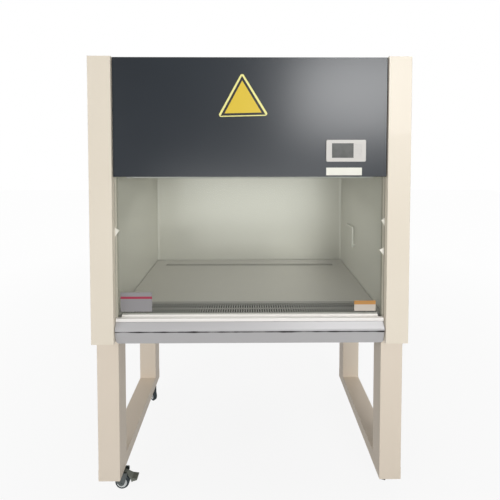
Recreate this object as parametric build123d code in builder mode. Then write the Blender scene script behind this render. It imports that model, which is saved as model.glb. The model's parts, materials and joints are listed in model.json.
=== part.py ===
from build123d import *
from math import cos, radians, sin
import os

os.makedirs("parts", exist_ok=True)

# Class II biosafety cabinet on a wheeled stand. Millimetres, +Z up, front faces -Y,
# origin on the floor under the middle of the bounding box.

# ---------------------------------------------------------------- driving dimensions
WIDTH = 1500.0            # over the side panels
DEPTH = 760.0             # front columns to rear panel
CASTER_H = 106.0          # floor to the underside of the stand
STAND_H = 724.0           # stand underside to cabinet underside
BODY_H = 1350.0           # cabinet underside to roof

SHEET = 2.0               # painted steel sheet
STEEL = 1.5               # stainless sheet
TUBE_WALL = 3.0           # stand tube

COLUMN_W = 107.0          # front face of each side column
COLUMN_LIP = 26.0         # return of the column beside the sash
WALL_X = 100.0            # liner side wall inside the cabinet's side
WALL_Y = 70.0             # liner back wall in front of the cabinet's back
COVE_R = 15.0             # liner corner radius
DECK_H = 121.0            # work surface above the cabinet underside
SILL_TOP_H = 94.0         # sill top above the cabinet underside
SILL_BEND_H = 63.0        # most forward line of the sill
PAN_DROP = 8.0            # base pan below the cabinet underside
CEILING_H = 810.0         # diffuser above the cabinet underside
COVER_H = 792.0           # lower edge of the front cover above the cabinet underside

GLASS_T = 6.0
GLASS_SETBACK = 38.0      # front face of the glass behind the front plane
SASH_TRAVEL = 450.0

POST_X = COLUMN_W         # stand posts match the columns
POST_Y = 80.0
STAND_SETBACK = 50.0      # front of the stand behind the front plane
STAND_REAR = 78.0         # rear of the stand in front of the cabinet's back
FOOT_RAIL_H = 62.0
HEAD_RAIL_H = 40.0

CASTER_IN = 54.0          # swivel axes inside the stand's side
CASTER_FRONT = 64.0       # front swivel axes behind the front of the stand
CASTER_REAR = 32.0        # rear swivel axes in front of the back of the stand
TRAIL = 38.0              # wheel axle behind its swivel axis
WHEEL_R = 36.0
WHEEL_W = 24.0

RUN = 0.05                # radial clearance of a running fit
GAP = 0.3                 # clearance between faces that slide past each other

# ---------------------------------------------------------------- derived positions
FRONT = -DEPTH / 2
BACK = DEPTH / 2
Z0 = CASTER_H + STAND_H                 # cabinet underside
Z1 = Z0 + BODY_H                        # top of the roof
DECK = Z0 + DECK_H
SILL_TOP = Z0 + SILL_TOP_H
PAN_Z = Z0 - PAN_DROP
CEILING = Z0 + CEILING_H
COVER_Z = Z0 + COVER_H
X_OUT = WIDTH / 2
X_COL = X_OUT - COLUMN_W                # inner edge of a column
X_CH = X_OUT - WALL_X                   # inner face of a liner wall
LINER_BACK = BACK - WALL_Y
GLASS_Y = FRONT + GLASS_SETBACK
DRAIN_X, DRAIN_Y = X_COL - 193.0, 100.0
DRAIN_BORE = 8.0                        # radius


def slab(x0, x1, y0, y1, z0, z1, mode=Mode.ADD):
    """An axis-aligned block between two corners."""
    with Locations(((x0 + x1) / 2, (y0 + y1) / 2, (z0 + z1) / 2)):
        Box(abs(x1 - x0), abs(y1 - y0), abs(z1 - z0), mode=mode)


def area(x0, x1, y0, y1, mode=Mode.ADD):
    """A rectangle between two corners of the current sketch."""
    with Locations(((x0 + x1) / 2, (y0 + y1) / 2)):
        Rectangle(abs(x1 - x0), abs(y1 - y0), mode=mode)


def save(part, name, label=None):
    part.label = label or name
    export_step(part, f"parts/{name}.step")


# ================================================================ outer casing
def side_panel(side):
    """One folded sheet: outer skin, front column face, return lip and rear flange."""
    rear = BACK - SHEET
    with BuildPart() as panel:
        with BuildSketch(Plane.XY.offset(Z0)):
            area(side * X_COL, side * X_OUT, FRONT, rear)
            area(side * (X_COL + SHEET), side * (X_OUT - SHEET),
                 FRONT + SHEET, rear - SHEET, Mode.SUBTRACT)
            area(side * (X_COL - 1), side * (X_COL + SHEET),
                 FRONT + COLUMN_LIP, rear, Mode.SUBTRACT)
            area(side * (X_COL - 1), side * (X_OUT - 25), rear - SHEET - 1, rear,
                 Mode.SUBTRACT)
        extrude(amount=BODY_H - SHEET)
        outer = panel.edges().filter_by(Axis.Z).sort_by_distance(
            (side * X_OUT, FRONT, Z0 + BODY_H / 2))[0]
        fillet(outer, 3.5)
        inner = panel.edges().filter_by(Axis.Z).sort_by_distance(
            (side * (X_OUT - SHEET), FRONT + SHEET, Z0 + BODY_H / 2))[0]
        fillet(inner, 1.5)
        edge = panel.edges().filter_by(Axis.Z).sort_by_distance(
            (side * X_COL, FRONT, Z0 + BODY_H / 2))[0]
        fillet(edge, 1.5)
    return panel.part


side_panel_left = side_panel(-1)
save(side_panel_left, "side_panel_left")
side_panel_right = side_panel(1)
save(side_panel_right, "side_panel_right")

with BuildPart() as rear_panel:
    # back sheet with two rows of cooling louvre slots near the top
    with BuildSketch(Plane.XZ.offset(-BACK + SHEET)):
        area(-X_OUT + 1, X_OUT - 1, Z0 + SHEET, Z1 - SHEET)
        with Locations((0, Z1 - 120)):
            with GridLocations(60, 40, 8, 2):
                Rectangle(44, 6, mode=Mode.SUBTRACT)
    extrude(amount=-SHEET)
save(rear_panel.part, "rear_panel")

# hinge line of the front cover, shared by the roof, the cover and its pin
HINGE_Y = FRONT + 20.0
HINGE_Z = Z1 - 12.0
PIN_R = 3.0
KNUCKLE_R = 6.0
HINGE_END = X_COL - 163.0               # middle of each outer knuckle group
HINGE_X = (-HINGE_END, 0.0, HINGE_END)
KNUCKLE_L = 40.0
ROOF_FRONT = FRONT + 36.0
VENT_X, VENT_Y = 250.0, 150.0           # half sizes of the roof outlet
VENT_CY = 40.0

with BuildPart() as roof_panel:
    with BuildSketch(Plane.XY.offset(Z1 - SHEET)):
        area(-X_OUT + 0.5, X_OUT - 0.5, FRONT + 0.5, BACK)
        area(-X_COL, X_COL, FRONT, ROOF_FRONT, Mode.SUBTRACT)
        with Locations((0, VENT_CY)):
            with GridLocations(238, 24, 2, 11):
                Rectangle(216, 14, mode=Mode.SUBTRACT)
    extrude(amount=SHEET)
    # front flange and the fixed hinge knuckles on their arms
    slab(-X_COL + 2, X_COL - 2, ROOF_FRONT, ROOF_FRONT + SHEET, Z1 - 30, Z1 - SHEET)
    for hx in HINGE_X:
        for s in (-1, 1):
            x_mid = hx + s * (KNUCKLE_L + 1)
            slab(x_mid - KNUCKLE_L / 2, x_mid + KNUCKLE_L / 2, HINGE_Y - 4, ROOF_FRONT,
                 HINGE_Z - 10, HINGE_Z - 5)
            with BuildSketch(Plane.YZ.offset(x_mid - KNUCKLE_L / 2)):
                with Locations((HINGE_Y, HINGE_Z)):
                    Circle(KNUCKLE_R)
            extrude(amount=KNUCKLE_L)
    with BuildSketch(Plane.YZ.offset(-X_COL)):
        with Locations((HINGE_Y, HINGE_Z)):
            Circle(PIN_R)
    extrude(amount=2 * X_COL, mode=Mode.SUBTRACT)
save(roof_panel.part, "roof_panel")

with BuildPart() as base_pan:
    # trough between the sides with a wing resting on each head rail of the stand
    with BuildSketch(Plane.XZ.offset(-FRONT - 36)):
        area(-X_OUT + 2.5, X_OUT - 2.5, Z0, Z0 + SHEET)
        area(-X_COL + 2, X_COL - 2, PAN_Z, Z0 + SHEET)
        area(-X_COL + 2 + SHEET, X_COL - 2 - SHEET, PAN_Z + SHEET, Z0 + SHEET + 1,
             Mode.SUBTRACT)
    extrude(amount=-(BACK - 2 * SHEET - 0.5 - FRONT - 36))
    # rear end of the trough
    slab(-X_COL + 3, X_COL - 3, BACK - 3 * SHEET - 0.5, BACK - 2 * SHEET - 0.5,
         PAN_Z + 1, Z0 + SHEET)
    # drain outlet
    with Locations((DRAIN_X, DRAIN_Y, PAN_Z + SHEET / 2)):
        Cylinder(DRAIN_BORE, 3 * SHEET, mode=Mode.SUBTRACT)
save(base_pan.part, "base_pan")

with BuildPart() as exhaust_guard:
    # low louvred guard over the roof outlet
    gx, gy = VENT_X + 20, VENT_Y + 20
    slab(-gx, gx, VENT_CY - gy, VENT_CY + gy, Z1, Z1 + STEEL)
    slab(-gx + 12, gx - 12, VENT_CY - gy + 12, VENT_CY + gy - 12, Z1, Z1 + 25)
    top_edges = exhaust_guard.edges().filter_by(Axis.Z, reverse=True).group_by(Axis.Z)[-1]
    fillet(top_edges, 3)
    slab(-gx + 14, gx - 14, VENT_CY - gy + 14, VENT_CY + gy - 14, Z1 - 1, Z1 + 23,
         Mode.SUBTRACT)
    with BuildSketch(Plane.XY.offset(Z1 + 20)):
        with Locations((0, VENT_CY)):
            with GridLocations(238, 24, 2, 11):
                Rectangle(218, 12)
    extrude(amount=10, mode=Mode.SUBTRACT)
save(exhaust_guard.part, "exhaust_guard")

# ================================================================ work chamber
with BuildPart() as chamber_liner:
    # stainless U: two sides and a back in one sheet with coved corners
    with BuildSketch(Plane.XY.offset(Z0 + SHEET)) as plan:
        area(-X_CH - STEEL, X_CH + STEEL, FRONT + 56, LINER_BACK + STEEL)
        fillet(plan.vertices().group_by(Axis.Y)[-1], COVE_R + STEEL)
    extrude(amount=CEILING - Z0 - SHEET)
    with BuildSketch(Plane.XY.offset(Z0 + SHEET)) as inside:
        area(-X_CH, X_CH, FRONT + 50, LINER_BACK)
        fillet(inside.vertices().group_by(Axis.Y)[-1], COVE_R)
    extrude(amount=CEILING - Z0 - SHEET, mode=Mode.SUBTRACT)
    # ledges that carry the grille and the work surface
    for s in (-1, 1):
        slab(s * (X_CH - 16), s * (X_CH + 1), FRONT + 60, LINER_BACK - 30,
             DECK - 20 - STEEL, DECK - 20)
save(chamber_liner.part, "chamber_liner")

SLOT_W, SLOT_PITCH = 6.0, 12.0
GRILLE_Y0, GRILLE_Y1 = FRONT + 50.0, FRONT + 150.0
DECK_Y0 = GRILLE_Y1 + 2.0


def slot_row(y_mid, length, half_span, pitch):
    """A row of return slots across the chamber, as many as the span holds."""
    with Locations((0, y_mid)):
        with GridLocations(pitch, length, int(2 * half_span // pitch) + 1, 1):
            Rectangle(SLOT_W, length)


with BuildPart() as work_surface:
    with BuildSketch(Plane.XY.offset(DECK - 20)) as deck_plan:
        area(-X_CH + 3, X_CH - 3, DECK_Y0, LINER_BACK - 6)
        fillet(deck_plan.vertices().group_by(Axis.Y)[-1], COVE_R + 5)
    extrude(amount=20)
    rim = work_surface.edges().filter_by(Axis.Z, reverse=True).group_by(Axis.Z)[-1]
    fillet(rim, 2)
    with BuildSketch(Plane.XY.offset(DECK - 21)) as deck_inside:
        area(-X_CH + 3 + STEEL, X_CH - 3 - STEEL, DECK_Y0 + STEEL, LINER_BACK - 6 - STEEL)
        fillet(deck_inside.vertices().group_by(Axis.Y)[-1], COVE_R + 3.5)
    extrude(amount=21 - STEEL, mode=Mode.SUBTRACT)
    # rear return slots
    with BuildSketch(Plane.XY.offset(DECK - 5)):
        slot_row(LINER_BACK - 87, 29, X_CH - 85, SLOT_PITCH + 1)
    extrude(amount=10, mode=Mode.SUBTRACT)
save(work_surface.part, "work_surface")

with BuildPart() as front_grille:
    # intake grille: folded tray with a long front flange standing on the sill
    with BuildSketch(Plane.YZ.offset(-X_CH + 3)):
        with BuildLine():
            Polyline((GRILLE_Y0, SILL_TOP), (GRILLE_Y0, DECK), (GRILLE_Y1, DECK),
                     (GRILLE_Y1, DECK - 20), (GRILLE_Y1 - STEEL, DECK - 20),
                     (GRILLE_Y1 - STEEL, DECK - STEEL), (GRILLE_Y0 + STEEL, DECK - STEEL),
                     (GRILLE_Y0 + STEEL, SILL_TOP), close=True)
        make_face()
    extrude(amount=2 * (X_CH - 3))
    front_fold = front_grille.edges().filter_by(Axis.X).sort_by_distance(
        (0, GRILLE_Y0, DECK))[0]
    fillet(front_fold, 3)
    with BuildSketch(Plane.XY.offset(DECK - 5)):
        slot_row(GRILLE_Y0 + 19, 28, X_CH - 23, SLOT_PITCH)
        slot_row(GRILLE_Y0 + 62.5, 41, X_CH - 23, SLOT_PITCH)
    extrude(amount=10, mode=Mode.SUBTRACT)
save(front_grille.part, "front_grille")

with BuildPart() as front_sill:
    # bull-nosed stainless sill between the columns
    sill_x, sill_back, sill_foot = X_COL - 2.5, FRONT + 56, PAN_Z - STEEL
    with BuildSketch(Plane.YZ.offset(-sill_x)) as nose:
        with BuildLine():
            Polyline((sill_back, SILL_TOP), (FRONT + 22, SILL_TOP),
                     (FRONT + 6, Z0 + SILL_BEND_H), (FRONT + 22, sill_foot),
                     (sill_back, sill_foot), close=True)
        make_face()
        fillet(nose.vertices().group_by(Axis.X)[0], 14)
        offset(amount=-STEEL, mode=Mode.SUBTRACT)
        area(sill_back - STEEL - 0.1, sill_back + 1, sill_foot - 1, SILL_TOP + 1,
             Mode.SUBTRACT)
    extrude(amount=2 * sill_x)
    # the lower corners are rounded off
    with BuildSketch(Plane.XZ.offset(-FRONT)) as face:
        area(-sill_x, sill_x, sill_foot, SILL_TOP)
        fillet(face.vertices().group_by(Axis.Y)[0], 14)
    extrude(amount=-60, mode=Mode.INTERSECT)
save(front_sill.part, "front_sill")

with BuildPart() as ceiling_diffuser:
    # perforated sheet under the supply filter
    slab(-X_CH - 1, X_CH + 1, FRONT + 57, LINER_BACK, CEILING, CEILING + STEEL)
    with BuildSketch(Plane.XY.offset(CEILING - 2)):
        span = (X_CH - 50) / 2
        with Locations((0, (FRONT + 150 + LINER_BACK - 30) / 2)):
            with GridLocations(span, 22, 4, 22):
                Rectangle(span - 30, 8)
    extrude(amount=6, mode=Mode.SUBTRACT)
save(ceiling_diffuser.part, "ceiling_diffuser")

with BuildPart() as wall_hanger:
    # hooked rod on the right wall of the chamber
    hang_x, hang_y, hang_z = X_CH - 14, LINER_BACK - 265, DECK + 185
    with BuildLine() as rod_path:
        Polyline((hang_x, hang_y, hang_z), (hang_x, hang_y, hang_z + 121),
                 (hang_x, hang_y + 95, hang_z + 114), (X_CH + 4, hang_y + 95, hang_z + 114))
    with BuildSketch(Plane(origin=(hang_x, hang_y, hang_z), z_dir=(0, 0, 1))):
        Circle(6)
    sweep(path=rod_path.wires()[0], transition=Transition.ROUND)
    slab(X_CH - 16, X_CH, hang_y - 5, hang_y + 5, hang_z + 10, hang_z + 20)
    slab(X_CH, X_CH + 20, hang_y - 20, hang_y + 120, hang_z, hang_z + 140, Mode.SUBTRACT)
save(wall_hanger.part, "wall_hanger")

# ================================================================ air handling
TRAY_TOP = CEILING + 102.0
BLOW_Y, BLOW_Z = 40.0, Z1 - 262.0
BLOW_W = 220.0

with BuildPart() as plenum_tray:
    # pressure plenum over the diffuser, open below, with the blower inlet on top
    slab(-X_CH - STEEL, X_CH + STEEL, FRONT + 56, LINER_BACK + STEEL, CEILING + STEEL,
         TRAY_TOP)
    slab(-X_CH, X_CH, FRONT + 56 + STEEL, LINER_BACK, CEILING, TRAY_TOP - STEEL,
         Mode.SUBTRACT)
    # ledge that carries the filter
    slab(-X_CH - 1, X_CH + 1, FRONT + 57, LINER_BACK + 1, CEILING + 20, CEILING + 22)
    slab(-X_CH + 65, X_CH - 65, FRONT + 115, LINER_BACK - 55, CEILING + 19, CEILING + 23,
         Mode.SUBTRACT)
    slab(-BLOW_W / 2 + 4, BLOW_W / 2 - 4, BLOW_Y + 52, BLOW_Y + 178, TRAY_TOP - 5,
         TRAY_TOP + 5, Mode.SUBTRACT)
save(plenum_tray.part, "plenum_tray")


def filter_pack(x_half, y0, y1, z0, z1, pleats):
    """A filter cartridge: square frame with a pleated pack across it."""
    wall = 18.0
    with BuildPart() as pack:
        slab(-x_half, x_half, y0, y1, z0, z1)
        slab(-x_half + wall, x_half - wall, y0 + wall, y1 - wall, z0 - 1, z1 + 1,
             Mode.SUBTRACT)
        pitch = 2 * (x_half - wall) / pleats
        low, high, thick = z0 + 8, z1 - 10, 2.5
        with BuildSketch(Plane.XZ.offset(-(y0 + wall / 2))):
            with BuildLine():
                xs = [-x_half + wall + pitch * i / 2 for i in range(2 * pleats + 1)]
                zs = [low if i % 2 == 0 else high for i in range(2 * pleats + 1)]
                xs[0] -= 2
                xs[-1] += 2
                upper = [(x, z + thick) for x, z in zip(xs, zs)]
                lower = [(x, z) for x, z in zip(xs, zs)]
                Polyline(*(lower + upper[::-1]), close=True)
            make_face()
        extrude(amount=-(y1 - y0 - wall))
    return pack.part


supply_filter = filter_pack(X_CH - 45, FRONT + 90, LINER_BACK - 32, CEILING + 22,
                            CEILING + 92, 30)
save(supply_filter, "supply_filter")
exhaust_filter = filter_pack(VENT_X + 30, VENT_CY - VENT_Y - 30, VENT_CY + VENT_Y + 30,
                             Z1 - 70, Z1 - SHEET, 16)
save(exhaust_filter, "exhaust_filter")


def scroll(inset, x):
    """Face of the blower scroll, discharging downwards, drawn inset from the sheet."""
    steps = 14
    r_start, r_end = 133.0 - inset, 183.0 - inset
    spiral = []
    for i in range(steps + 1):
        t = radians(-70 - 290 * i / steps)
        r = r_start + (r_end - r_start) * i / steps
        spiral.append((BLOW_Y + r * cos(t), BLOW_Z + r * sin(t)))
    floor = TRAY_TOP - (1 if inset else 0)
    start = (spiral[0][0] + inset, spiral[0][1])
    with BuildSketch(Plane.YZ.offset(x)) as outline:
        with BuildLine():
            Spline(*spiral)
            Polyline(spiral[-1], (spiral[-1][0], floor), (start[0], floor), spiral[0])
        make_face()
    return outline.sketch


with BuildPart() as blower_housing:
    extrude(scroll(0, -BLOW_W / 2), amount=BLOW_W)
    extrude(scroll(SHEET, -BLOW_W / 2 + SHEET), amount=BLOW_W - 2 * SHEET,
            mode=Mode.SUBTRACT)
    with Locations((0, BLOW_Y, BLOW_Z)):
        Cylinder(95, BLOW_W + 10, rotation=(0, 90, 0), mode=Mode.SUBTRACT)
save(blower_housing.part, "blower_housing")

SHAFT_R = 8.0
with BuildPart() as blower_motor:
    with Locations((-BLOW_W / 2 - 100, BLOW_Y, BLOW_Z)):
        Cylinder(62, 130, rotation=(0, 90, 0))
    ends = blower_motor.edges().filter_by(GeomType.CIRCLE)
    chamfer(ends, 6)
    # pedestal down to the plenum tray
    slab(-BLOW_W / 2 - 145, -BLOW_W / 2 - 55, BLOW_Y - 50, BLOW_Y + 50, TRAY_TOP, TRAY_TOP + 4)
    for dx in (-135, -69):
        slab(-BLOW_W / 2 + dx, -BLOW_W / 2 + dx + 4, BLOW_Y - 40, BLOW_Y + 40, TRAY_TOP + 3,
             BLOW_Z - 40)
    with Locations((-BLOW_W / 2 - 35 - 30, BLOW_Y, BLOW_Z)):
        Cylinder(SHAFT_R + RUN, 62, rotation=(0, 90, 0), mode=Mode.SUBTRACT)
save(blower_motor.part, "blower_motor")

with BuildPart() as blower_impeller:
    # double-inlet forward-bladed wheel on its shaft
    with BuildSketch(Plane.YZ.offset(-1.5)):
        with Locations((BLOW_Y, BLOW_Z)):
            Circle(118)
            with PolarLocations(60, 6):
                Circle(14, mode=Mode.SUBTRACT)
    extrude(amount=3)
    for x_ring in (-95, 92):
        with BuildSketch(Plane.YZ.offset(x_ring)):
            with Locations((BLOW_Y, BLOW_Z)):
                Circle(118)
                Circle(98, mode=Mode.SUBTRACT)
        extrude(amount=3)
    with BuildSketch(Plane.YZ.offset(-94)):
        with Locations((BLOW_Y, BLOW_Z)):
            with PolarLocations(108, 24):
                Rectangle(18, 2, rotation=25)
    extrude(amount=188)
    with BuildSketch(Plane.YZ.offset(-BLOW_W / 2 - 90)):
        with Locations((BLOW_Y, BLOW_Z)):
            Circle(SHAFT_R)
    extrude(amount=BLOW_W / 2 + 120)
    with BuildSketch(Plane.YZ.offset(-20)):
        with Locations((BLOW_Y, BLOW_Z)):
            Circle(22)
    extrude(amount=40)
save(blower_impeller.part, "blower_impeller")

# ================================================================ lighting
LAMP_Y, LAMP_Z, LAMP_R, LAMP_X = FRONT + 100, CEILING - 22, 13.0, X_CH - 65
with BuildPart() as lamp_holder:
    slab(-LAMP_X - 30, LAMP_X + 30, LAMP_Y - 24, LAMP_Y + 24, CEILING - 5, CEILING)
    for s in (-1, 1):
        slab(s * LAMP_X, s * (LAMP_X + 25), LAMP_Y - 16, LAMP_Y + 16, LAMP_Z - 12, CEILING - 4)
    ends = lamp_holder.edges().filter_by(Axis.X).group_by(Axis.Z)[0]
    fillet(ends, 5)
save(lamp_holder.part, "lamp_holder")

with BuildPart() as lamp_tube:
    with Locations((0, LAMP_Y, LAMP_Z)):
        Cylinder(LAMP_R, 2 * LAMP_X, rotation=(0, 90, 0))
    fillet(lamp_tube.edges().filter_by(GeomType.CIRCLE), 3)
save(lamp_tube.part, "lamp_tube")

# ================================================================ sash and its guides
GLASS_X = X_CH - 5.0
GLASS_Z0, GLASS_Z1 = SILL_TOP + 10.0, CEILING + 40.0
RAIL_TOP = GLASS_Z1 + SASH_TRAVEL - 25.0
RAIL_Y = FRONT + 31.0                   # front of the guides
CLIP_T = 4.0


def guide_rail(side):
    """Channel that the edge of the glass runs in."""
    with BuildPart() as rail:
        with BuildSketch(Plane.XY.offset(SILL_TOP + 1)):
            area(side * (X_CH - 14), side * (X_CH + 1), RAIL_Y, RAIL_Y + 18)
            area(side * (X_CH - 15), side * (X_CH - 4), GLASS_Y - 0.6,
                 GLASS_Y + GLASS_T + 0.6, Mode.SUBTRACT)
        extrude(amount=RAIL_TOP - SILL_TOP - 1)
    return rail.part


guide_rail_left = guide_rail(-1)
save(guide_rail_left, "guide_rail_left")
guide_rail_right = guide_rail(1)
save(guide_rail_right, "guide_rail_right")

with BuildPart() as guide_clips:
    # small white stops clipped on the front of the guides
    for side, x_tip, x_root, z, tall in ((-1, 28, 1, 403, 53), (1, 23, 7, 452, 38),
                                         (1, 31, 9, 309, 39)):
        with BuildSketch(Plane.XZ.offset(-RAIL_Y)):
            with BuildLine():
                Polyline((side * (X_CH - x_tip), DECK + z + tall * 0.2),
                         (side * (X_CH - x_root), DECK + z + tall / 2),
                         (side * (X_CH - x_root), DECK + z - tall / 2), close=True)
            make_face()
        extrude(amount=CLIP_T)
save(guide_clips.part, "guide_clips")

with BuildPart() as sash_glass:
    slab(-GLASS_X, GLASS_X, GLASS_Y, GLASS_Y + GLASS_T, GLASS_Z0, GLASS_Z1)
    chamfer(sash_glass.edges().filter_by(Axis.X), 0.8)
save(sash_glass.part, "sash_glass")

HANDLE_X, JAW_X = X_COL - 5.0, X_CH - 32.0
HANDLE_Z, HANDLE_H = GLASS_Z0 - 4.0, 15.0
JAW_H = 22.0
HANDLE_Y = RAIL_Y - CLIP_T - 0.5        # back of the pull, clear of the clips
with BuildPart() as sash_handle:
    # hollow bar across the whole opening, in front of the columns' lips
    y0, z0, z1 = HANDLE_Y - 13, HANDLE_Z, HANDLE_Z + HANDLE_H
    with BuildSketch(Plane.YZ.offset(-HANDLE_X)) as bar:
        area(y0, HANDLE_Y, z0, z1)
        fillet(bar.vertices().group_by(Axis.X)[0], 2)
        area(y0 + 3, HANDLE_Y - 3, z0 + 3, z1 - 3, Mode.SUBTRACT)
    extrude(amount=2 * HANDLE_X)
    # narrower jaw behind it, with the glass seated in it
    glass_y1 = GLASS_Y + GLASS_T
    with BuildSketch(Plane.YZ.offset(-JAW_X)):
        area(HANDLE_Y, glass_y1 + 3, z0, z1)
        area(GLASS_Y - 3, glass_y1 + 3, z0, z0 + JAW_H)
        area(GLASS_Y, glass_y1, GLASS_Z0, z0 + JAW_H + 1, Mode.SUBTRACT)
        area(HANDLE_Y, GLASS_Y - 3, z0 + 3, z1 - 3, Mode.SUBTRACT)
    extrude(amount=2 * JAW_X)
save(sash_handle.part, "sash_handle")

PULLEY_R = 30.0
PULLEY_X, PULLEY_Z = -X_CH - 28.0, Z1 - 38.0
PULLEY_Y = GLASS_Y + GLASS_T / 2
with BuildPart() as pulley_bracket:
    for y0 in (PULLEY_Y - 8, PULLEY_Y + 5.5):
        slab(PULLEY_X - 22, PULLEY_X + 22, y0, y0 + 2.5, PULLEY_Z - 12, Z1 - SHEET)
    slab(PULLEY_X - 22, PULLEY_X + 22, PULLEY_Y - 8, PULLEY_Y + 8, Z1 - SHEET - 3, Z1 - SHEET)
    with Locations((PULLEY_X, PULLEY_Y, PULLEY_Z)):
        Cylinder(5, 14, rotation=(90, 0, 0))
save(pulley_bracket.part, "pulley_bracket")

with BuildPart() as sash_pulley:
    with BuildSketch(Plane.XZ.offset(-PULLEY_Y)):
        with Locations((PULLEY_X, PULLEY_Z)):
            Circle(PULLEY_R)
            Circle(5 + RUN, mode=Mode.SUBTRACT)
    extrude(amount=5, both=True)
    # rope groove
    with BuildSketch(Plane.XY.offset(PULLEY_Z)):
        with BuildLine():
            Polyline((PULLEY_X + PULLEY_R + 1, PULLEY_Y - 4), (PULLEY_X + PULLEY_R - 5, PULLEY_Y),
                     (PULLEY_X + PULLEY_R + 1, PULLEY_Y + 4), close=True)
        make_face()
    revolve(axis=Axis((PULLEY_X, PULLEY_Y, PULLEY_Z), (0, 1, 0)), mode=Mode.SUBTRACT)
save(sash_pulley.part, "sash_pulley")

with BuildPart() as counterweight:
    cx = PULLEY_X - PULLEY_R + 2
    slab(cx - 34, cx + 32, PULLEY_Y - 32, PULLEY_Y + 32, Z1 - 660, Z1 - 110)
    chamfer(counterweight.edges().filter_by(Axis.Z), 4)
    with Locations((cx, PULLEY_Y, Z1 - 105)):
        Cylinder(6, 12)
save(counterweight.part, "counterweight")

# ================================================================ front cover and controls
COVER_TOP = Z1 - 3.0
COVER_FACE = FRONT + 8.0
COVER_X = X_COL - 4.0
with BuildPart() as front_cover:
    slab(-COVER_X, COVER_X, COVER_FACE, COVER_FACE + 18, COVER_Z, COVER_TOP)
    face_edges = front_cover.edges().filter_by(Axis.Y, reverse=True).group_by(Axis.Y)[0]
    fillet(face_edges, 1.8)
    slab(-COVER_X + SHEET, COVER_X - SHEET, COVER_FACE + SHEET, COVER_FACE + 19,
         COVER_Z + SHEET, COVER_TOP - SHEET, Mode.SUBTRACT)
    # moving hinge knuckles hung from the top flange
    for hx in HINGE_X:
        slab(hx - KNUCKLE_L / 2, hx + KNUCKLE_L / 2, HINGE_Y - 2.5, HINGE_Y + 2.5, HINGE_Z,
             COVER_TOP - 1)
        with BuildSketch(Plane.YZ.offset(hx - KNUCKLE_L / 2)):
            with Locations((HINGE_Y, HINGE_Z)):
                Circle(KNUCKLE_R)
        extrude(amount=KNUCKLE_L)
    with BuildSketch(Plane.YZ.offset(-COVER_X + 5)):
        with Locations((HINGE_Y, HINGE_Z)):
            Circle(PIN_R + RUN)
    extrude(amount=2 * COVER_X - 10, mode=Mode.SUBTRACT)
save(front_cover.part, "front_cover")

with BuildPart() as cover_hinge_pin:
    with Locations((0, HINGE_Y, HINGE_Z)):
        Cylinder(PIN_R, 2 * (HINGE_END + 75), rotation=(0, 90, 0))
save(cover_hinge_pin.part, "cover_hinge_pin")

# the controller sits low on the right of the cover
BEZEL_X0, BEZEL_X1 = COVER_X - 285.0, COVER_X - 100.0
BEZEL_Z0, BEZEL_Z1 = COVER_Z + 71.0, COVER_Z + 173.0
SCREEN_X0, SCREEN_X1 = BEZEL_X0 + 26.0, BEZEL_X0 + 127.0
SCREEN_Z0, SCREEN_Z1 = BEZEL_Z0 + 18.0, BEZEL_Z1 - 16.0
BUTTON_X, BUTTON_W, BUTTON_H = BEZEL_X1 - 35.5, 28.0, 15.0
BUTTON_ZS = [(SCREEN_Z0 + SCREEN_Z1) / 2 + 22.0 * i for i in (1, 0, -1)]
BEZEL_FACE = FRONT + 0.5

with BuildPart() as controller_bezel:
    slab(BEZEL_X0, BEZEL_X1, BEZEL_FACE, COVER_FACE, BEZEL_Z0, BEZEL_Z1)
    fillet(controller_bezel.edges().filter_by(Axis.Y), 6)
    fillet(controller_bezel.faces().sort_by(Axis.Y)[0].edges(), 1.5)
    slab(SCREEN_X0, SCREEN_X1, BEZEL_FACE - 1, BEZEL_FACE + 2, SCREEN_Z0, SCREEN_Z1,
         Mode.SUBTRACT)
    for bz in BUTTON_ZS:
        slab(BUTTON_X - BUTTON_W / 2 - GAP, BUTTON_X + BUTTON_W / 2 + GAP, BEZEL_FACE - 1,
             COVER_FACE - 1.5, bz - BUTTON_H / 2 - GAP, bz + BUTTON_H / 2 + GAP, Mode.SUBTRACT)
save(controller_bezel.part, "controller_bezel")

with BuildPart() as controller_screen:
    slab(SCREEN_X0, SCREEN_X1, BEZEL_FACE + 0.3, BEZEL_FACE + 2, SCREEN_Z0, SCREEN_Z1)
save(controller_screen.part, "controller_screen")


def button(bz):
    """Spring-returned key in its own pocket of the bezel."""
    with BuildPart() as key:
        slab(BUTTON_X - BUTTON_W / 2, BUTTON_X + BUTTON_W / 2, FRONT + 0.1, FRONT + 4.6,
             bz - BUTTON_H / 2, bz + BUTTON_H / 2)
        fillet(key.edges().filter_by(Axis.Y), 2.5)
        chamfer(key.faces().sort_by(Axis.Y)[0].edges(), 0.4)
    return key.part


button_fan = button(BUTTON_ZS[0])
save(button_fan, "button_fan")
button_lamp = button(BUTTON_ZS[1])
save(button_lamp, "button_lamp")
button_power = button(BUTTON_ZS[2])
save(button_power, "button_power")

SIGN_X, SIGN_Z = -35.0, COVER_Z + 282.0
SIGN_BASE, SIGN_TALL, SIGN_ROUND = 235.0, 196.0, 10.0
with BuildPart() as sign_plate:
    # blank three-cornered plate, hung a little out of level
    with BuildSketch(Plane.XZ.offset(-COVER_FACE)) as tri:
        with Locations(Location((SIGN_X, SIGN_Z + SIGN_TALL / 2), 1.45)):
            Polygon((-SIGN_BASE / 2 - 2, -SIGN_TALL / 2), (SIGN_BASE / 2 + 2, -SIGN_TALL / 2),
                    (0, SIGN_TALL / 2 + 9), align=None)
        fillet(tri.vertices(), SIGN_ROUND)
    extrude(amount=1.2)
save(sign_plate.part, "sign_plate")

with BuildPart() as strip_plate:
    slab(BEZEL_X0 + 2, BEZEL_X1 - 16, COVER_FACE - 1, COVER_FACE, COVER_Z + 7, COVER_Z + 43)
    fillet(strip_plate.edges().filter_by(Axis.Y), 1.5)
save(strip_plate.part, "strip_plate")

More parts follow.
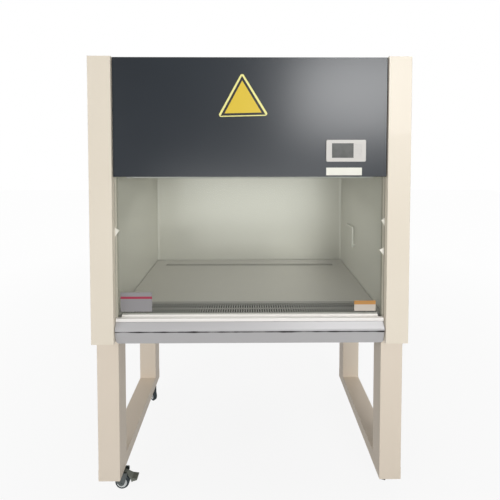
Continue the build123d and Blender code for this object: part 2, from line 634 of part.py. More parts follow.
# ================================================================ drain valve
with BuildPart() as drain_valve:
    with Locations((DRAIN_X, DRAIN_Y, PAN_Z - 1.5)):
        Cylinder(24, 3)
    with Locations((DRAIN_X, DRAIN_Y, PAN_Z - 50)):
        Cylinder(12, 100)
    with Locations((DRAIN_X, DRAIN_Y, PAN_Z - 38)):
        Cylinder(19, 34)
    with Locations((DRAIN_X, DRAIN_Y - 21, PAN_Z - 38)):
        Cylinder(9, 14, rotation=(90, 0, 0))
    with Locations((DRAIN_X, DRAIN_Y, PAN_Z - 50)):
        Cylinder(DRAIN_BORE, 110, mode=Mode.SUBTRACT)
    with Locations((DRAIN_X, DRAIN_Y - 22, PAN_Z - 38)):
        Cylinder(5 + RUN, 14, rotation=(90, 0, 0), mode=Mode.SUBTRACT)
save(drain_valve.part, "drain_valve")

with BuildPart() as drain_lever:
    with Locations((DRAIN_X, DRAIN_Y - 25, PAN_Z - 38)):
        Cylinder(5, 16, rotation=(90, 0, 0))
    slab(DRAIN_X - 9, DRAIN_X + 70, DRAIN_Y - 36, DRAIN_Y - 32, PAN_Z - 47, PAN_Z - 29)
    fillet(drain_lever.edges().filter_by(Axis.Y).group_by(Axis.X)[-1], 8)
save(drain_lever.part, "drain_lever")

# ================================================================ stand
ST_Y0 = FRONT + STAND_SETBACK
ST_Y1 = BACK - STAND_REAR
FOOT_TOP = CASTER_H + FOOT_RAIL_H
HEAD_Z = Z0 - HEAD_RAIL_H


def tube_post(side, y0):
    with BuildPart() as post:
        with BuildSketch(Plane.XY.offset(FOOT_TOP)) as hollow:
            area(side * X_COL, side * X_OUT, y0, y0 + POST_Y)
            fillet(hollow.vertices(), 3)
            area(side * (X_COL + TUBE_WALL), side * (X_OUT - TUBE_WALL), y0 + TUBE_WALL,
                 y0 + POST_Y - TUBE_WALL, Mode.SUBTRACT)
        extrude(amount=HEAD_Z - FOOT_TOP)
    return post.part


def tube_rail(side, z0, z1):
    """Front-to-back tube, capped in front and open behind."""
    with BuildPart() as rail:
        slab(side * X_COL, side * X_OUT, ST_Y0, ST_Y1, z0, z1)
        fillet(rail.edges().filter_by(Axis.Y), 3)
        slab(side * (X_COL + TUBE_WALL), side * (X_OUT - TUBE_WALL), ST_Y0 + TUBE_WALL,
             ST_Y1 + 1, z0 + TUBE_WALL, z1 - TUBE_WALL, Mode.SUBTRACT)
    return rail.part


BOLT_X, BOLT_Y, BOLT_R = 26.0, 22.0, 4.0
CASTER_X = X_OUT - CASTER_IN
CASTER_Y0, CASTER_Y1 = ST_Y0 + CASTER_FRONT, ST_Y1 - CASTER_REAR
CASTERS = {                             # name: side, y of the swivel axis, trail angle
    "front_left": (-1, CASTER_Y0, 0.0),
    "front_right": (1, CASTER_Y0, 75.0),
    "rear_left": (-1, CASTER_Y1, -45.0),
    "rear_right": (1, CASTER_Y1, 60.0),
}


def foot_rail(side):
    with BuildPart() as foot:
        add(tube_rail(side, CASTER_H, FOOT_TOP))
        for s, y, _ in CASTERS.values():
            if s == side:
                with Locations((side * CASTER_X, y, CASTER_H)):
                    with GridLocations(2 * BOLT_X, 2 * BOLT_Y, 2, 2):
                        Cylinder(BOLT_R + RUN, 20, mode=Mode.SUBTRACT)
    return foot.part


post_front_left = tube_post(-1, ST_Y0)
save(post_front_left, "post_front_left")
post_front_right = tube_post(1, ST_Y0)
save(post_front_right, "post_front_right")
post_rear_left = tube_post(-1, ST_Y1 - POST_Y)
save(post_rear_left, "post_rear_left")
post_rear_right = tube_post(1, ST_Y1 - POST_Y)
save(post_rear_right, "post_rear_right")
foot_rail_left = foot_rail(-1)
save(foot_rail_left, "foot_rail_left")
foot_rail_right = foot_rail(1)
save(foot_rail_right, "foot_rail_right")
head_rail_left = tube_rail(-1, HEAD_Z, Z0)
save(head_rail_left, "head_rail_left")
head_rail_right = tube_rail(1, HEAD_Z, Z0)
save(head_rail_right, "head_rail_right")

with BuildPart() as cross_rail:
    # rear tie between the side frames
    with BuildSketch(Plane.YZ.offset(-X_COL)):
        area(ST_Y1 - 60, ST_Y1 - 20, HEAD_Z - 150, HEAD_Z - 90)
        area(ST_Y1 - 57, ST_Y1 - 23, HEAD_Z - 147, HEAD_Z - 93, Mode.SUBTRACT)
    extrude(amount=2 * X_COL)
save(cross_rail.part, "cross_rail")

# ================================================================ casters
AXLE_Z = WHEEL_R
KING_R, AXLE_R, PEDAL_PIN_R = 6.0, 5.0, 3.0
RACE_Z = CASTER_H - 14.0                # underside of the swivel race
PEDAL_X, PEDAL_Z = 46.0, 82.0           # pedal pin in the caster's own frame
CHEEK_Y0, CHEEK_Y1 = 15.5, 19.0

PLATE_X, PLATE_Y = 38.0, 31.0           # half sizes of a caster plate

with BuildPart() as caster_plates:
    for s, cy, _ in CASTERS.values():
        cx = s * CASTER_X
        slab(cx - PLATE_X, cx + PLATE_X, cy - PLATE_Y, cy + PLATE_Y, CASTER_H - 4, CASTER_H)
        with Locations((cx, cy, CASTER_H - 9)):
            Cylinder(24, 10)
        with Locations((cx, cy, RACE_Z - 5)):
            Cylinder(KING_R, 12)
        with Locations((cx, cy, CASTER_H - 2)):
            with GridLocations(2 * BOLT_X, 2 * BOLT_Y, 2, 2):
                Cylinder(BOLT_R + RUN, 8, mode=Mode.SUBTRACT)
save(caster_plates.part, "caster_plates")

with BuildPart() as caster_bolts:
    for s, cy, _ in CASTERS.values():
        with BuildSketch(Plane.XY.offset(CASTER_H - 9)):
            with Locations((s * CASTER_X, cy)):
                with GridLocations(2 * BOLT_X, 2 * BOLT_Y, 2, 2):
                    RegularPolygon(6.5, 6)
        extrude(amount=5)
        with Locations((s * CASTER_X, cy, CASTER_H)):
            with GridLocations(2 * BOLT_X, 2 * BOLT_Y, 2, 2):
                Cylinder(BOLT_R, 10)
save(caster_bolts.part, "caster_bolts")


def placed(part, side, y, angle):
    """Turn a caster piece about its swivel axis and set it under the stand."""
    return part.moved(Location((side * CASTER_X, y, 0)) * Location((0, 0, 0), (0, 0, angle)))


def caster_yoke(braked):
    """Fork in its own frame: swivel axis at the origin, wheel trailing along +X."""
    top = RACE_Z - GAP
    with BuildPart() as yoke:
        with BuildSketch(Plane.XZ.offset(-CHEEK_Y1)) as cheek:
            with BuildLine():
                if braked:
                    Polyline((-16, top), (-16, top - 16), (TRAIL - 12, AXLE_Z - 6),
                             (TRAIL, AXLE_Z - 12), (TRAIL + 12, AXLE_Z - 6), (66, top - 16),
                             (66, top), close=True)
                else:
                    Polyline((-16, top), (-16, top - 16), (TRAIL - 12, AXLE_Z - 6),
                             (TRAIL, AXLE_Z - 12), (TRAIL + 12, AXLE_Z - 6), (48, top - 16),
                             (48, top), close=True)
            make_face()
            fillet(cheek.vertices(), 4)
        extrude(amount=2 * CHEEK_Y1)
        slab(-30, 120, -CHEEK_Y0, CHEEK_Y0, 0, top - 9, Mode.SUBTRACT)
        slab(34, 120, -CHEEK_Y0, CHEEK_Y0, 0, top + 1, Mode.SUBTRACT)
        with Locations((0, 0, top - 4.5)):
            Cylinder(22, 9)
        with Locations((0, 0, top - 4.5)):
            Cylinder(KING_R + RUN, 12, mode=Mode.SUBTRACT)
        with Locations((TRAIL, 0, AXLE_Z)):
            Cylinder(AXLE_R, 2 * CHEEK_Y1 + 3, rotation=(90, 0, 0))
        if braked:
            with Locations((PEDAL_X, 0, PEDAL_Z)):
                Cylinder(PEDAL_PIN_R, 2 * CHEEK_Y1 + 2, rotation=(90, 0, 0))
    return yoke.part


def caster_wheel():
    """Tyre, disc and hub turned about the axle in one revolve."""
    with BuildPart() as wheel:
        with BuildSketch(Plane.XY.offset(AXLE_Z)):
            with BuildLine():
                half = WHEEL_W / 2
                bore = AXLE_R + RUN
                tread = TRAIL + WHEEL_R
                Polyline((TRAIL + bore, -half - 2), (TRAIL + 11, -half - 2),
                         (TRAIL + 12, -half + 3), (TRAIL + 26, -half), (tread - 4, -half),
                         (tread, -half + 4), (tread, half - 4), (tread - 4, half),
                         (TRAIL + 26, half), (TRAIL + 12, half - 3), (TRAIL + 11, half + 2),
                         (TRAIL + bore, half + 2), close=True)
            make_face()
        revolve(axis=Axis((TRAIL, 0, AXLE_Z), (0, 1, 0)))
    return wheel.part


def brake_pedal():
    """Foot pedal that arches over the wheel and widens into a shoe behind it."""
    with BuildPart() as pedal:
        with BuildSketch(Plane.XZ.offset(-14.5)) as side:
            with BuildLine():
                Polyline((40, 78), (42, 88), (52, 88), (62, 84), (76, 72), (90, 62),
                         (118, 58), (116, 51), (97, 46), (88, 40), (83, 55), (68, 70),
                         (54, 76), close=True)
            make_face()
            fillet(side.vertices(), 2)
        extrude(amount=29)
        with BuildSketch(Plane.XY) as above:
            with BuildLine():
                Polyline((30, -8), (60, -8), (92, -14.5), (125, -14.5), (125, 14.5),
                         (92, 14.5), (60, 8), (30, 8), close=True)
            make_face()
        extrude(amount=CASTER_H, mode=Mode.INTERSECT)
        with Locations((PEDAL_X, 0, PEDAL_Z)):
            Cylinder(PEDAL_PIN_R + RUN, 40, rotation=(90, 0, 0), mode=Mode.SUBTRACT)
    return pedal.part


wheel_shape = caster_wheel()
pedal_shape = brake_pedal()
for spot, (s, y, angle) in CASTERS.items():
    braked = spot.startswith("front")
    save(placed(caster_yoke(braked), s, y, angle), f"caster_yoke_{spot}")
    save(placed(wheel_shape, s, y, angle), f"caster_wheel_{spot}")
    if braked:
        save(placed(pedal_shape, s, y, angle), f"brake_pedal_{spot}")
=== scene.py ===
import json
import math

import bpy
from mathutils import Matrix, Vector


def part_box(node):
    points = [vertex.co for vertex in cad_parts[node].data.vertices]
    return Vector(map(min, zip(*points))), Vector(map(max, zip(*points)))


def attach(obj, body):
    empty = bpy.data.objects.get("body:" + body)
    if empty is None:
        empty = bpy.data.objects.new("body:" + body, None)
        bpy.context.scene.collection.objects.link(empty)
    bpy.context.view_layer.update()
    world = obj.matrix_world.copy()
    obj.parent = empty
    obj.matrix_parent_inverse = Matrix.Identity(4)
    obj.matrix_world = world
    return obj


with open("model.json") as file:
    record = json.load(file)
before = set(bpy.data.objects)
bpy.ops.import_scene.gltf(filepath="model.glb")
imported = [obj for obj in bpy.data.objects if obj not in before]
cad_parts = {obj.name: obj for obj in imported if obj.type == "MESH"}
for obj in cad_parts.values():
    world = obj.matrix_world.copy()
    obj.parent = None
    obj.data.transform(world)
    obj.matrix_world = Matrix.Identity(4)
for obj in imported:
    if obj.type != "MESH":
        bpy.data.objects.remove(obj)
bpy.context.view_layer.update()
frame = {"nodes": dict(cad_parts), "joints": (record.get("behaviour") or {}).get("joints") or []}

part = frame["nodes"]
scene = bpy.context.scene

# ---------------------------------------------------------------- camera
# Eye height is a standing person's, about 1.4 m in front of the sash.
# The lens looks almost level and is shifted down so that the columns stay upright.
EYE = (-0.010, -1.715, 1.784)
DOWN, TO_THE_RIGHT = 1.56, 0.39     # degrees
SENSOR, FOCAL, SHIFT = 36, 20.74, -0.20
eye = bpy.data.objects.new("eye", bpy.data.cameras.new("eye"))
scene.collection.objects.link(eye)
eye.location = EYE
eye.rotation_euler = (math.radians(90 - DOWN), 0, math.radians(-TO_THE_RIGHT))
eye.data.sensor_width = SENSOR
eye.data.lens = FOCAL
eye.data.shift_y = SHIFT
eye.data.clip_end = 60
scene.camera = eye

# ---------------------------------------------------------------- powder-coated case
# The side columns, roof, rear sheet and roof guard are folded steel, sprayed ivory.
# The coat is satin, with a faint orange peel and very slight unevenness of shade.
class Wire:
    """One output socket of a shader node that can be used in sums."""

    def __init__(self, socket):
        self.socket = socket

    def node(self, kind, settings=None, out=0, **sockets):
        """A new node fed by socket name, or by place as i0 and i1; one output as a wire."""
        tree = self.socket.id_data
        made = tree.nodes.new(kind)
        for key, value in (settings or {}).items():
            if key == "stops":
                ramp = made.color_ramp.elements
                while len(ramp) < len(value):
                    ramp.new(1.0)
                for stop, (at, colour) in zip(ramp, value):
                    stop.position, stop.color = at, (*colour, 1.0)
            else:
                setattr(made, key, value)
        for key, value in sockets.items():
            place = int(key[1:]) if key[0] == "i" and key[1:].isdigit() else key.replace("_", " ")
            if isinstance(value, Wire):
                tree.links.new(value.socket, made.inputs[place])
            else:
                made.inputs[place].default_value = value
        return Wire(made.outputs[out])

    def math(self, operation, a, b=0.0):
        return self.node("ShaderNodeMath", {"operation": operation}, i0=a, i1=b)

    def __add__(self, other):
        return self.math("ADD", self, other)

    def __sub__(self, other):
        return self.math("SUBTRACT", self, other)

    def __rsub__(self, other):
        return self.math("SUBTRACT", other, self)

    def __mul__(self, other):
        return self.math("MULTIPLY", self, other)

    def __gt__(self, other):
        return self.math("GREATER_THAN", self, other)

    def __lt__(self, other):
        return self.math("LESS_THAN", self, other)


def shade(red, green, blue):
    """A colour as the eye names it, 0 to 255, in the renderer's linear values."""
    return tuple(((c / 255 + 0.055) / 1.055) ** 2.4 if c > 10 else c / 255 / 12.92
                 for c in (red, green, blue))


def surface(name, colour, roughness, metallic=0.0, coat=0.0):
    """A material, its shader and the wire that carries the place on the piece."""
    made = bpy.data.materials.new(name)
    made.use_nodes = True
    shader = made.node_tree.nodes["Principled BSDF"]
    shader.inputs["Base Color"].default_value = (*colour, 1)
    shader.inputs["Roughness"].default_value = roughness
    shader.inputs["Metallic"].default_value = metallic
    shader.inputs["Coat Weight"].default_value = coat
    where = Wire(made.node_tree.nodes.new("ShaderNodeTexCoord").outputs["Object"])
    return made, shader, where


def feed(shader, socket, wire):
    """The wire into one socket of the shader."""
    wire.socket.id_data.links.new(wire.socket, shader.inputs[socket])


def blend_colours(mask, low, high):
    """Low where the mask is 0 and high where it is 1; each a colour or a wire."""
    ends = {6: low, 7: high}
    mixed = mask.node("ShaderNodeMix", {"data_type": "RGBA"}, out=2, i0=mask)
    tree = mask.socket.id_data
    for at, end in ends.items():
        if isinstance(end, Wire):
            tree.links.new(end.socket, mixed.socket.node.inputs[at])
        else:
            mixed.socket.node.inputs[at].default_value = (*end, 1)
    return mixed


def roughen(shader, where, size, depth):
    """A fine even relief on the skin of a piece."""
    grain = where.node("ShaderNodeTexNoise", Vector=where, Scale=size, Detail=2.0)
    feed(shader, "Normal", grain.node("ShaderNodeBump", Height=grain, Strength=0.35,
                                      Distance=depth))


def dress(material, *nodes):
    """The material on every slot of the named CAD nodes."""
    for name in nodes:
        for place in part[name].material_slots:
            place.material = material


def powder_coat(name, colour, drift):
    """A satin sprayed coat that wanders between two close shades."""
    coat, shader, where = surface(name, colour, 0.42, coat=0.12)
    cloud = where.node("ShaderNodeTexNoise", Vector=where, Scale=1.7, Detail=3.0)
    feed(shader, "Base Color", blend_colours(cloud, colour, drift))
    roughen(shader, where, 420.0, 0.0004)
    return coat


ivory = powder_coat("ivory powder coat", shade(236, 227, 211), shade(228, 218, 200))
dress(ivory, "side_panel_left", "side_panel_right", "rear_panel", "roof_panel", "exhaust_guard")

# ---------------------------------------------------------------- stand
# Two welded frames of rectangular tube tied by a rail at the back, in the same
# coat as the case but a little darker and more to sand: partly tone, partly painted shade.
sand = powder_coat("sand powder coat", shade(232, 220, 204), shade(223, 210, 192))
dress(sand, "post_front_left", "post_front_right", "post_rear_left", "post_rear_right",
      "foot_rail_left", "foot_rail_right", "head_rail_left", "head_rail_right", "cross_rail")

# ---------------------------------------------------------------- front cover
# One folded steel tray, hinged along its top edge and sprayed a satin slate blue.
# It carries the three-cornered plate, the controller and the strip below it.
slate, shader, where = surface("slate satin paint", shade(22, 31, 40), 0.3, coat=0.3)
cloud = where.node("ShaderNodeTexNoise", Vector=where, Scale=2.2, Detail=2.0)
feed(shader, "Base Color", blend_colours(cloud, shade(18, 27, 36), shade(25, 34, 43)))
feed(shader, "Roughness", cloud * 0.08 + 0.27)
roughen(shader, where, 700.0, 0.0001)
shader.inputs["Coat Roughness"].default_value = 0.26
dress(slate, "front_cover")

# ---------------------------------------------------------------- three-cornered plate
# Thin pressed plate, yellow with a black border set in from a pale rim, left blank.
# It hangs a degree or so out of level.
TILT, HALF_BASE, TALL = math.radians(1.45), 0.1175, 0.2045
BORDER_FROM, BORDER_TO = 0.0074, 0.0182     # black border, inwards from the edge
plate_low, plate_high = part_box("sign_plate")
middle = (plate_low.x + plate_high.x) / 2
sign, shader, where = surface("yellow plate", shade(236, 200, 60), 0.35, coat=0.3)
split = where.node("ShaderNodeSeparateXYZ", Vector=where).socket.node
across, up = Wire(split.outputs["X"]) - middle, Wire(split.outputs["Z"]) - plate_low.z
turned_x = across * math.cos(TILT) + up * math.sin(TILT)
turned_z = up * math.cos(TILT) - across * math.sin(TILT)
slope = math.atan2(TALL, HALF_BASE)
from_left = (turned_x + HALF_BASE) * math.sin(slope) - turned_z * math.cos(slope)
from_right = (HALF_BASE - turned_x) * math.sin(slope) - turned_z * math.cos(slope)
inset = across.math("MINIMUM", across.math("MINIMUM", from_left, from_right), turned_z)
border = (inset > BORDER_FROM) * (inset < BORDER_TO)
field = blend_colours(inset > BORDER_TO, shade(240, 234, 150), shade(224, 194, 52))
feed(shader, "Base Color", blend_colours(border, field, shade(26, 26, 24)))
dress(sign, "sign_plate")

# ---------------------------------------------------------------- controller
# Off-white moulded bezel around a dark window, with a column of three keys.
# A blank paper strip under a clear cover sits below it.
bezel, shader, where = surface("controller plastic", shade(208, 205, 200), 0.4)
roughen(shader, where, 900.0, 0.0002)
dress(bezel, "controller_bezel")
window, shader, where = surface("controller window", shade(70, 71, 70), 0.4)
cloud = where.node("ShaderNodeTexNoise", Vector=where, Scale=30.0)
feed(shader, "Base Color", blend_colours(cloud, shade(46, 47, 46), shade(92, 94, 90)))
dress(window, "controller_screen")
keys, shader, where = surface("key plastic", shade(206, 203, 199), 0.45)
roughen(shader, where, 700.0, 0.0002)
dress(keys, "button_fan", "button_lamp", "button_power")
strip, shader, where = surface("strip card", shade(250, 250, 240), 0.3, coat=0.3)
cloud = where.node("ShaderNodeTexNoise", Vector=where, Scale=14.0)
feed(shader, "Base Color", blend_colours(cloud, shade(240, 239, 230), shade(230, 229, 216)))
dress(strip, "strip_plate")

# ---------------------------------------------------------------- stainless chamber
# Brushed stainless sheet: the liner's grain runs up the walls, and the deck, grille
# and sill are brushed from side to side. The hooked rod is bright bar.
UPRIGHT, CROSSWISE, FINE_BAR = (500, 500, 5), (5, 500, 500), (300, 300, 20)


def stainless(name, light, dark, grain, roughness, metal):
    """A brushed steel, its shader, the place on the piece and its colour as a wire."""
    steel, shader, where = surface(name, light, roughness, metallic=metal)
    stretched = where.node("ShaderNodeMapping", Vector=where, Scale=grain)
    lines = where.node("ShaderNodeTexNoise", Vector=stretched, Scale=1.0, Detail=4.0)
    cloud = where.node("ShaderNodeTexNoise", Vector=where, Scale=1.3, Detail=1.0)
    tone = blend_colours(lines * 0.5 + cloud * 0.5, dark, light)
    feed(shader, "Base Color", tone)
    feed(shader, "Roughness", lines * 0.16 + (roughness - 0.08))
    feed(shader, "Normal", lines.node("ShaderNodeBump", Height=lines, Strength=0.12,
                                      Distance=0.0004))
    return steel, shader, where, tone


def level(where):
    """Height above the floor, in metres."""
    return Wire(where.node("ShaderNodeSeparateXYZ", Vector=where).socket.node.outputs["Z"])


dress(stainless("liner steel", shade(223, 221, 211), shade(214, 212, 202), UPRIGHT, 0.34, 0.25)[0],
      "chamber_liner", "ceiling_diffuser")
dress(stainless("deck steel", shade(206, 202, 196), shade(192, 189, 184), CROSSWISE, 0.34, 0.4)[0],
      "work_surface")
# the grille is the deck's steel made darker: painted shade over the dark sump
dress(stainless("grille steel", shade(168, 165, 161), shade(154, 152, 148), CROSSWISE, 0.34,
                0.4)[0], "front_grille")
dress(stainless("rod steel", shade(240, 239, 230), shade(228, 227, 218), FINE_BAR, 0.3, 0.3)[0],
      "wall_hanger")

# the pan is left dull and painted dark all over in blotches: painted shade for the enclosed sump
# seen through the grille slots
PAN_SHADE_LIGHT, PAN_SHADE_DARK = shade(42, 42, 41), shade(32, 32, 31)
pan_steel, shader, where = stainless("pan steel", PAN_SHADE_LIGHT, PAN_SHADE_DARK, CROSSWISE, 0.45, 0.5)[:3]
painted_shade_blotches = where.node("ShaderNodeTexNoise", Vector=where, Scale=9.0, Detail=2.0)
feed(shader, "Base Color", blend_colours(painted_shade_blotches, PAN_SHADE_DARK, PAN_SHADE_LIGHT))
dress(pan_steel, "base_pan")

# a thin line of painted shade, of uneven width, runs a centimetre under the fold of the sill
LINE_UP = 0.063             # the line above the foot of the sill
SWELL, THIN = 0.012, 0.003  # half its width is the noise times SWELL, less THIN
sill_steel, shader, where, bright = stainless("sill steel", shade(192, 191, 192),
                                              shade(180, 179, 180), CROSSWISE, 0.46, 0.2)
from_line = level(where) - (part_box("front_sill")[0].z + LINE_UP)
along = where.node("ShaderNodeMapping", Vector=where, Scale=(9, 0, 0))
uneven = where.node("ShaderNodeTexNoise", Vector=along, Scale=1.0, Detail=2.0)
painted_shade_line = from_line.math("ABSOLUTE", from_line) < uneven * SWELL - THIN
feed(shader, "Base Color", blend_colours(painted_shade_line, bright, shade(42, 40, 40)))
dress(sill_steel, "front_sill")

# ---------------------------------------------------------------- sash
# A toughened pane seated in an extruded aluminium pull. The pane is nearly clear and
# mirrors the room only at a slant. Two small blank stickers mark its corners.
HEAD_ON, SLANTED, STEEPNESS = 0.045, 0.9, 5.0     # how much the pane mirrors
pane = bpy.data.materials.new("sash pane")
pane.use_nodes = True
pane_nodes = pane.node_tree.nodes
gloss = pane_nodes["Principled BSDF"]
gloss.inputs["Base Color"].default_value = (*shade(205, 208, 205), 1)
gloss.inputs["Roughness"].default_value = 0.03
clear = pane_nodes.new("ShaderNodeBsdfTransparent")
clear.inputs["Color"].default_value = (*shade(249, 250, 249), 1)
slant = Wire(pane_nodes.new("ShaderNodeLayerWeight").outputs["Facing"])
slant = slant.math("POWER", slant, STEEPNESS)
layers = pane_nodes.new("ShaderNodeMixShader")
pane.node_tree.links.new((slant * SLANTED + HEAD_ON).socket, layers.inputs[0])
pane.node_tree.links.new(clear.outputs[0], layers.inputs[1])
pane.node_tree.links.new(gloss.outputs[0], layers.inputs[2])
pane.node_tree.links.new(layers.outputs[0], pane_nodes["Material Output"].inputs["Surface"])
dress(pane, "sash_glass")

pull, shader, where = surface("anodised pull", shade(247, 244, 240), 0.34, metallic=0.05)
stretched = where.node("ShaderNodeMapping", Vector=where, Scale=(4, 300, 300))
lines = where.node("ShaderNodeTexNoise", Vector=stretched, Scale=1.0, Detail=3.0)
feed(shader, "Base Color", blend_colours(lines, shade(242, 239, 235), shade(251, 248, 244)))
dress(pull, "sash_handle")


FILM = 0.0003               # thickness of a sticker


def sticker(name, x, z, width, tall, bands):
    """A blank film sticker on the face of the pane, in bands from the bottom up."""
    back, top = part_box("sash_glass")[0].y, z + tall
    outline = [(x, z), (x + width, z), (x + width, top), (x, top)]
    corners = [(across, y, up) for y in (back - FILM, back) for across, up in outline]
    faces = [(0, 1, 2, 3), (7, 6, 5, 4), (0, 4, 5, 1), (1, 5, 6, 2), (2, 6, 7, 3), (3, 7, 4, 0)]
    mesh = bpy.data.meshes.new(name)
    mesh.from_pydata(corners, [], faces)
    film = bpy.data.objects.new(name, mesh)
    scene.collection.objects.link(film)
    ink, shader, where = surface(name + " ink", bands[0][1], 0.4)
    share = (level(where) - z) * (1 / tall)
    colour = where.node("ShaderNodeValToRGB", {"stops": bands}, Fac=share)
    colour.socket.node.color_ramp.interpolation = "CONSTANT"
    feed(shader, "Base Color", colour)
    mesh.materials.append(ink)
    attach(film, "sash")


sticker("right_sticker", 0.505, 0.966, 0.104, 0.050,
        [(0.0, shade(198, 189, 178)), (0.62, shade(184, 134, 72))])
sticker("left_sticker", -0.625, 0.966, 0.152, 0.094,
        [(0.0, shade(142, 140, 142)), (0.66, shade(158, 44, 72)), (0.78, shade(142, 140, 142))])

# ---------------------------------------------------------------- sash guides
# Slotted channels coated like the case but set darker, as painted shade in the recess of the
# opening, with three moulded white clips on them.
dress(powder_coat("guide coat", shade(206, 202, 188), shade(196, 192, 176)),
      "guide_rail_left", "guide_rail_right")
clip, shader, where = surface("clip plastic", shade(244, 242, 232), 0.4)
roughen(shader, where, 600.0, 0.0002)
dress(clip, "guide_clips")

# ---------------------------------------------------------------- behind the covers
# Galvanised plenum and blower, paper filters, cast counterweight, nylon pulley,
# opal lamp and the brass drain valve under the pan.
def mottled(name, colour, drift, roughness, metallic=0.0, size=8.0):
    """A material that wanders between two close shades, with a fine relief."""
    made, shader, where = surface(name, colour, roughness, metallic)
    cloud = where.node("ShaderNodeTexNoise", Vector=where, Scale=size, Detail=3.0)
    feed(shader, "Base Color", blend_colours(cloud, colour, drift))
    roughen(shader, where, size * 60, 0.0003)
    return made


dress(mottled("galvanised sheet", shade(168, 172, 174), shade(140, 145, 148), 0.4, 0.85, 18.0),
      "plenum_tray", "blower_housing", "blower_impeller")
dress(mottled("filter paper", shade(238, 236, 226), shade(226, 224, 212), 0.9),
      "supply_filter", "exhaust_filter")
dress(mottled("motor paint", shade(38, 40, 42), shade(52, 54, 56), 0.5), "blower_motor")
dress(mottled("rough casting", shade(74, 74, 76), shade(54, 54, 56), 0.75, 0.4, 30.0),
      "counterweight")
dress(mottled("nylon", shade(232, 230, 220), shade(222, 220, 208), 0.5), "sash_pulley")
dress(mottled("bright zinc", shade(188, 190, 192), shade(166, 169, 172), 0.34, 0.9, 25.0),
      "pulley_bracket", "cover_hinge_pin", "caster_plates", "caster_bolts")
dress(mottled("lamp holder plastic", shade(236, 236, 232), shade(228, 228, 224), 0.45),
      "lamp_holder")
dress(mottled("opal tube", shade(246, 247, 244), shade(240, 242, 238), 0.2), "lamp_tube")
dress(mottled("turned brass", shade(196, 164, 96), shade(176, 144, 80), 0.3, 0.9, 30.0),
      "drain_valve")
dress(mottled("dipped lever", shade(150, 40, 34), shade(132, 32, 28), 0.45), "drain_lever")

# ---------------------------------------------------------------- casters
# Pressed zinc yokes, dark polyurethane treads on light hubs, and a moulded foot
# pedal on each front one.
dress(mottled("pressed zinc", shade(120, 126, 126), shade(92, 98, 98), 0.4, 0.8, 25.0),
      "caster_yoke_front_left", "caster_yoke_front_right", "caster_yoke_rear_left",
      "caster_yoke_rear_right")
dress(mottled("pedal plastic", shade(124, 127, 118), shade(90, 95, 87), 0.4, 0.3),
      "brake_pedal_front_left", "brake_pedal_front_right")


HUB_FROM, HUB_TO = 0.0115, 0.0255     # radii of the light ring of the hub


def wheel_finish(name, joint):
    """Tread, light hub ring and dark centre, told apart by the distance from the axle."""
    made, shader, where = surface(name, shade(30, 42, 48), 0.5)
    offset = where.node("ShaderNodeVectorMath", {"operation": "SUBTRACT"}, i0=where,
                        i1=tuple(joint["pos_m"]))
    lever = where.node("ShaderNodeVectorMath", {"operation": "CROSS_PRODUCT"}, i0=offset,
                       i1=tuple(joint["axis"]))
    radius = where.node("ShaderNodeVectorMath", {"operation": "LENGTH"}, out=1, i0=lever)
    ring = (radius < HUB_TO) * (radius > HUB_FROM)
    grime = where.node("ShaderNodeTexNoise", Vector=where, Scale=60.0)
    tread = blend_colours(grime, shade(22, 34, 40), shade(40, 54, 60))
    feed(shader, "Base Color", blend_colours(ring, tread, shade(216, 220, 220)))
    return made


for joint in frame["joints"]:
    if joint["name"].startswith("roll_"):
        corner = joint["name"].removeprefix("roll_")
        dress(wheel_finish("wheel " + corner, joint), "caster_wheel_" + corner)

# ---------------------------------------------------------------- floor, light and backdrop
# A pale floor, four soft lamps around the part and a faint one in the chamber. The
# surround is white to the eye, and dims to the left in what gloss and the pane show.
FLOOR_REACH = 9.0
NEAR_WHITE, FAR_WHITE, WHITE_AT = 0.88, 0.98, 4.0     # the floor fades to white in 4 m
FLOOR_GLOSS = 0.42
SIDE_SLOPE, SIDE_MIDDLE, SIDE_DIMMEST = 1.3, 0.6, 0.2     # how the white dims to the left


def seen_white(tree, gloss):
    """1 for the eye, gloss for shiny metal and the pane, and 0 for the light on things."""
    path = tree.nodes.new("ShaderNodeLightPath")
    shiny = Wire(path.outputs["Is Glossy Ray"])
    shiny = shiny.math("MAXIMUM", shiny, Wire(path.outputs["Is Transmission Ray"])) * gloss
    return shiny.math("MAXIMUM", shiny, Wire(path.outputs["Is Camera Ray"]))


floor_mesh = bpy.data.meshes.new("floor")
square = [(-1, -1), (1, -1), (1, 1), (-1, 1)]
floor_mesh.from_pydata([(x * FLOOR_REACH, y * FLOOR_REACH, 0) for x, y in square], [],
                       [(0, 1, 2, 3)])
floor = bpy.data.objects.new("floor", floor_mesh)
scene.collection.objects.link(floor)
pale, shader, where = surface("pale floor", (0.60, 0.60, 0.60), 0.8)
reach = where.node("ShaderNodeVectorMath", {"operation": "LENGTH"}, out=1, i0=where)
fade = reach.math("MINIMUM", reach * (1 / WHITE_AT), 1.0) * (FAR_WHITE - NEAR_WHITE) + NEAR_WHITE
glow = pale.node_tree.nodes.new("ShaderNodeEmission")
glow.inputs["Strength"].default_value = 1.0
mix = pale.node_tree.nodes.new("ShaderNodeMixShader")
pale.node_tree.links.new((seen_white(pale.node_tree, FLOOR_GLOSS) * fade).socket, mix.inputs[0])
pale.node_tree.links.new(shader.outputs[0], mix.inputs[1])
pale.node_tree.links.new(glow.outputs[0], mix.inputs[2])
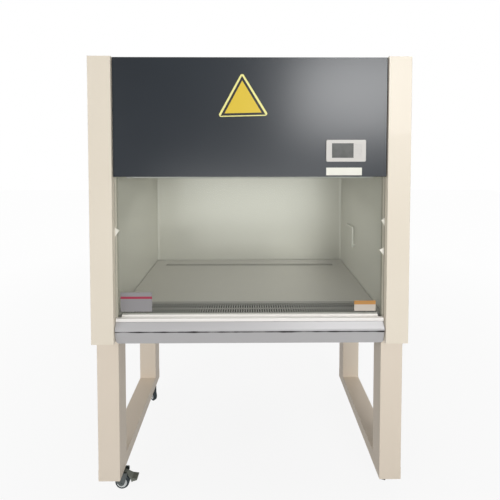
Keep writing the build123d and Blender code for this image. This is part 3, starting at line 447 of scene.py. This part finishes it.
pale.node_tree.links.new(mix.outputs[0], pale.node_tree.nodes["Material Output"].inputs[0])
floor_mesh.materials.append(pale)

world = bpy.data.worlds.new("surround")
world.use_nodes = True
scene.world = world
sky = world.node_tree.nodes["Background"]
sky.inputs["Color"].default_value = (0.84, 0.83, 0.82, 1)
sky.inputs["Strength"].default_value = 0.4
white = world.node_tree.nodes.new("ShaderNodeBackground")
white.inputs["Color"].default_value = (1, 1, 1, 1)
both = world.node_tree.nodes.new("ShaderNodeMixShader")
toward = Wire(world.node_tree.nodes.new("ShaderNodeTexCoord").outputs["Generated"])
side = Wire(toward.node("ShaderNodeSeparateXYZ", Vector=toward).socket.node.outputs["X"])
side = side.math("MAXIMUM", side * SIDE_SLOPE + SIDE_MIDDLE, SIDE_DIMMEST)
side = side.math("MINIMUM", side, 1.0)
world.node_tree.links.new(seen_white(world.node_tree, side).socket, both.inputs[0])
world.node_tree.links.new(sky.outputs[0], both.inputs[1])
world.node_tree.links.new(white.outputs[0], both.inputs[2])
world.node_tree.links.new(both.outputs[0], world.node_tree.nodes["World Output"].inputs[0])


def lamp(name, place, aim, width, tall, watts):
    """A soft rectangular lamp that looks from its place to its aim."""
    light = bpy.data.lights.new(name, "AREA")
    light.shape, light.size, light.size_y, light.energy = "RECTANGLE", width, tall, watts
    made = bpy.data.objects.new(name, light)
    scene.collection.objects.link(made)
    made.location = place
    made.rotation_euler = (Vector(aim) - Vector(place)).to_track_quat("-Z", "Y").to_euler()


lamp("window_right", (1.8, -4.0, 2.65), (0.4, 0, 1.7), 2.0, 1.5, 76)
lamp("low_front", (0, -4.8, 0.55), (0, 0, 1.4), 3.6, 0.9, 34)
lamp("left_soft", (-4.2, -2.6, 2.4), (0, 0, 1.3), 1.8, 1.8, 50)
lamp("top_soft", (0, 0.2, 4.6), (0, 0, 1.5), 3.0, 2.4, 30)
lamp("chamber_fill", (0, -0.1, 1.47), (0, 0.05, 0.9), 1.0, 0.3, 0.85)

scene.view_settings.view_transform = "Standard"
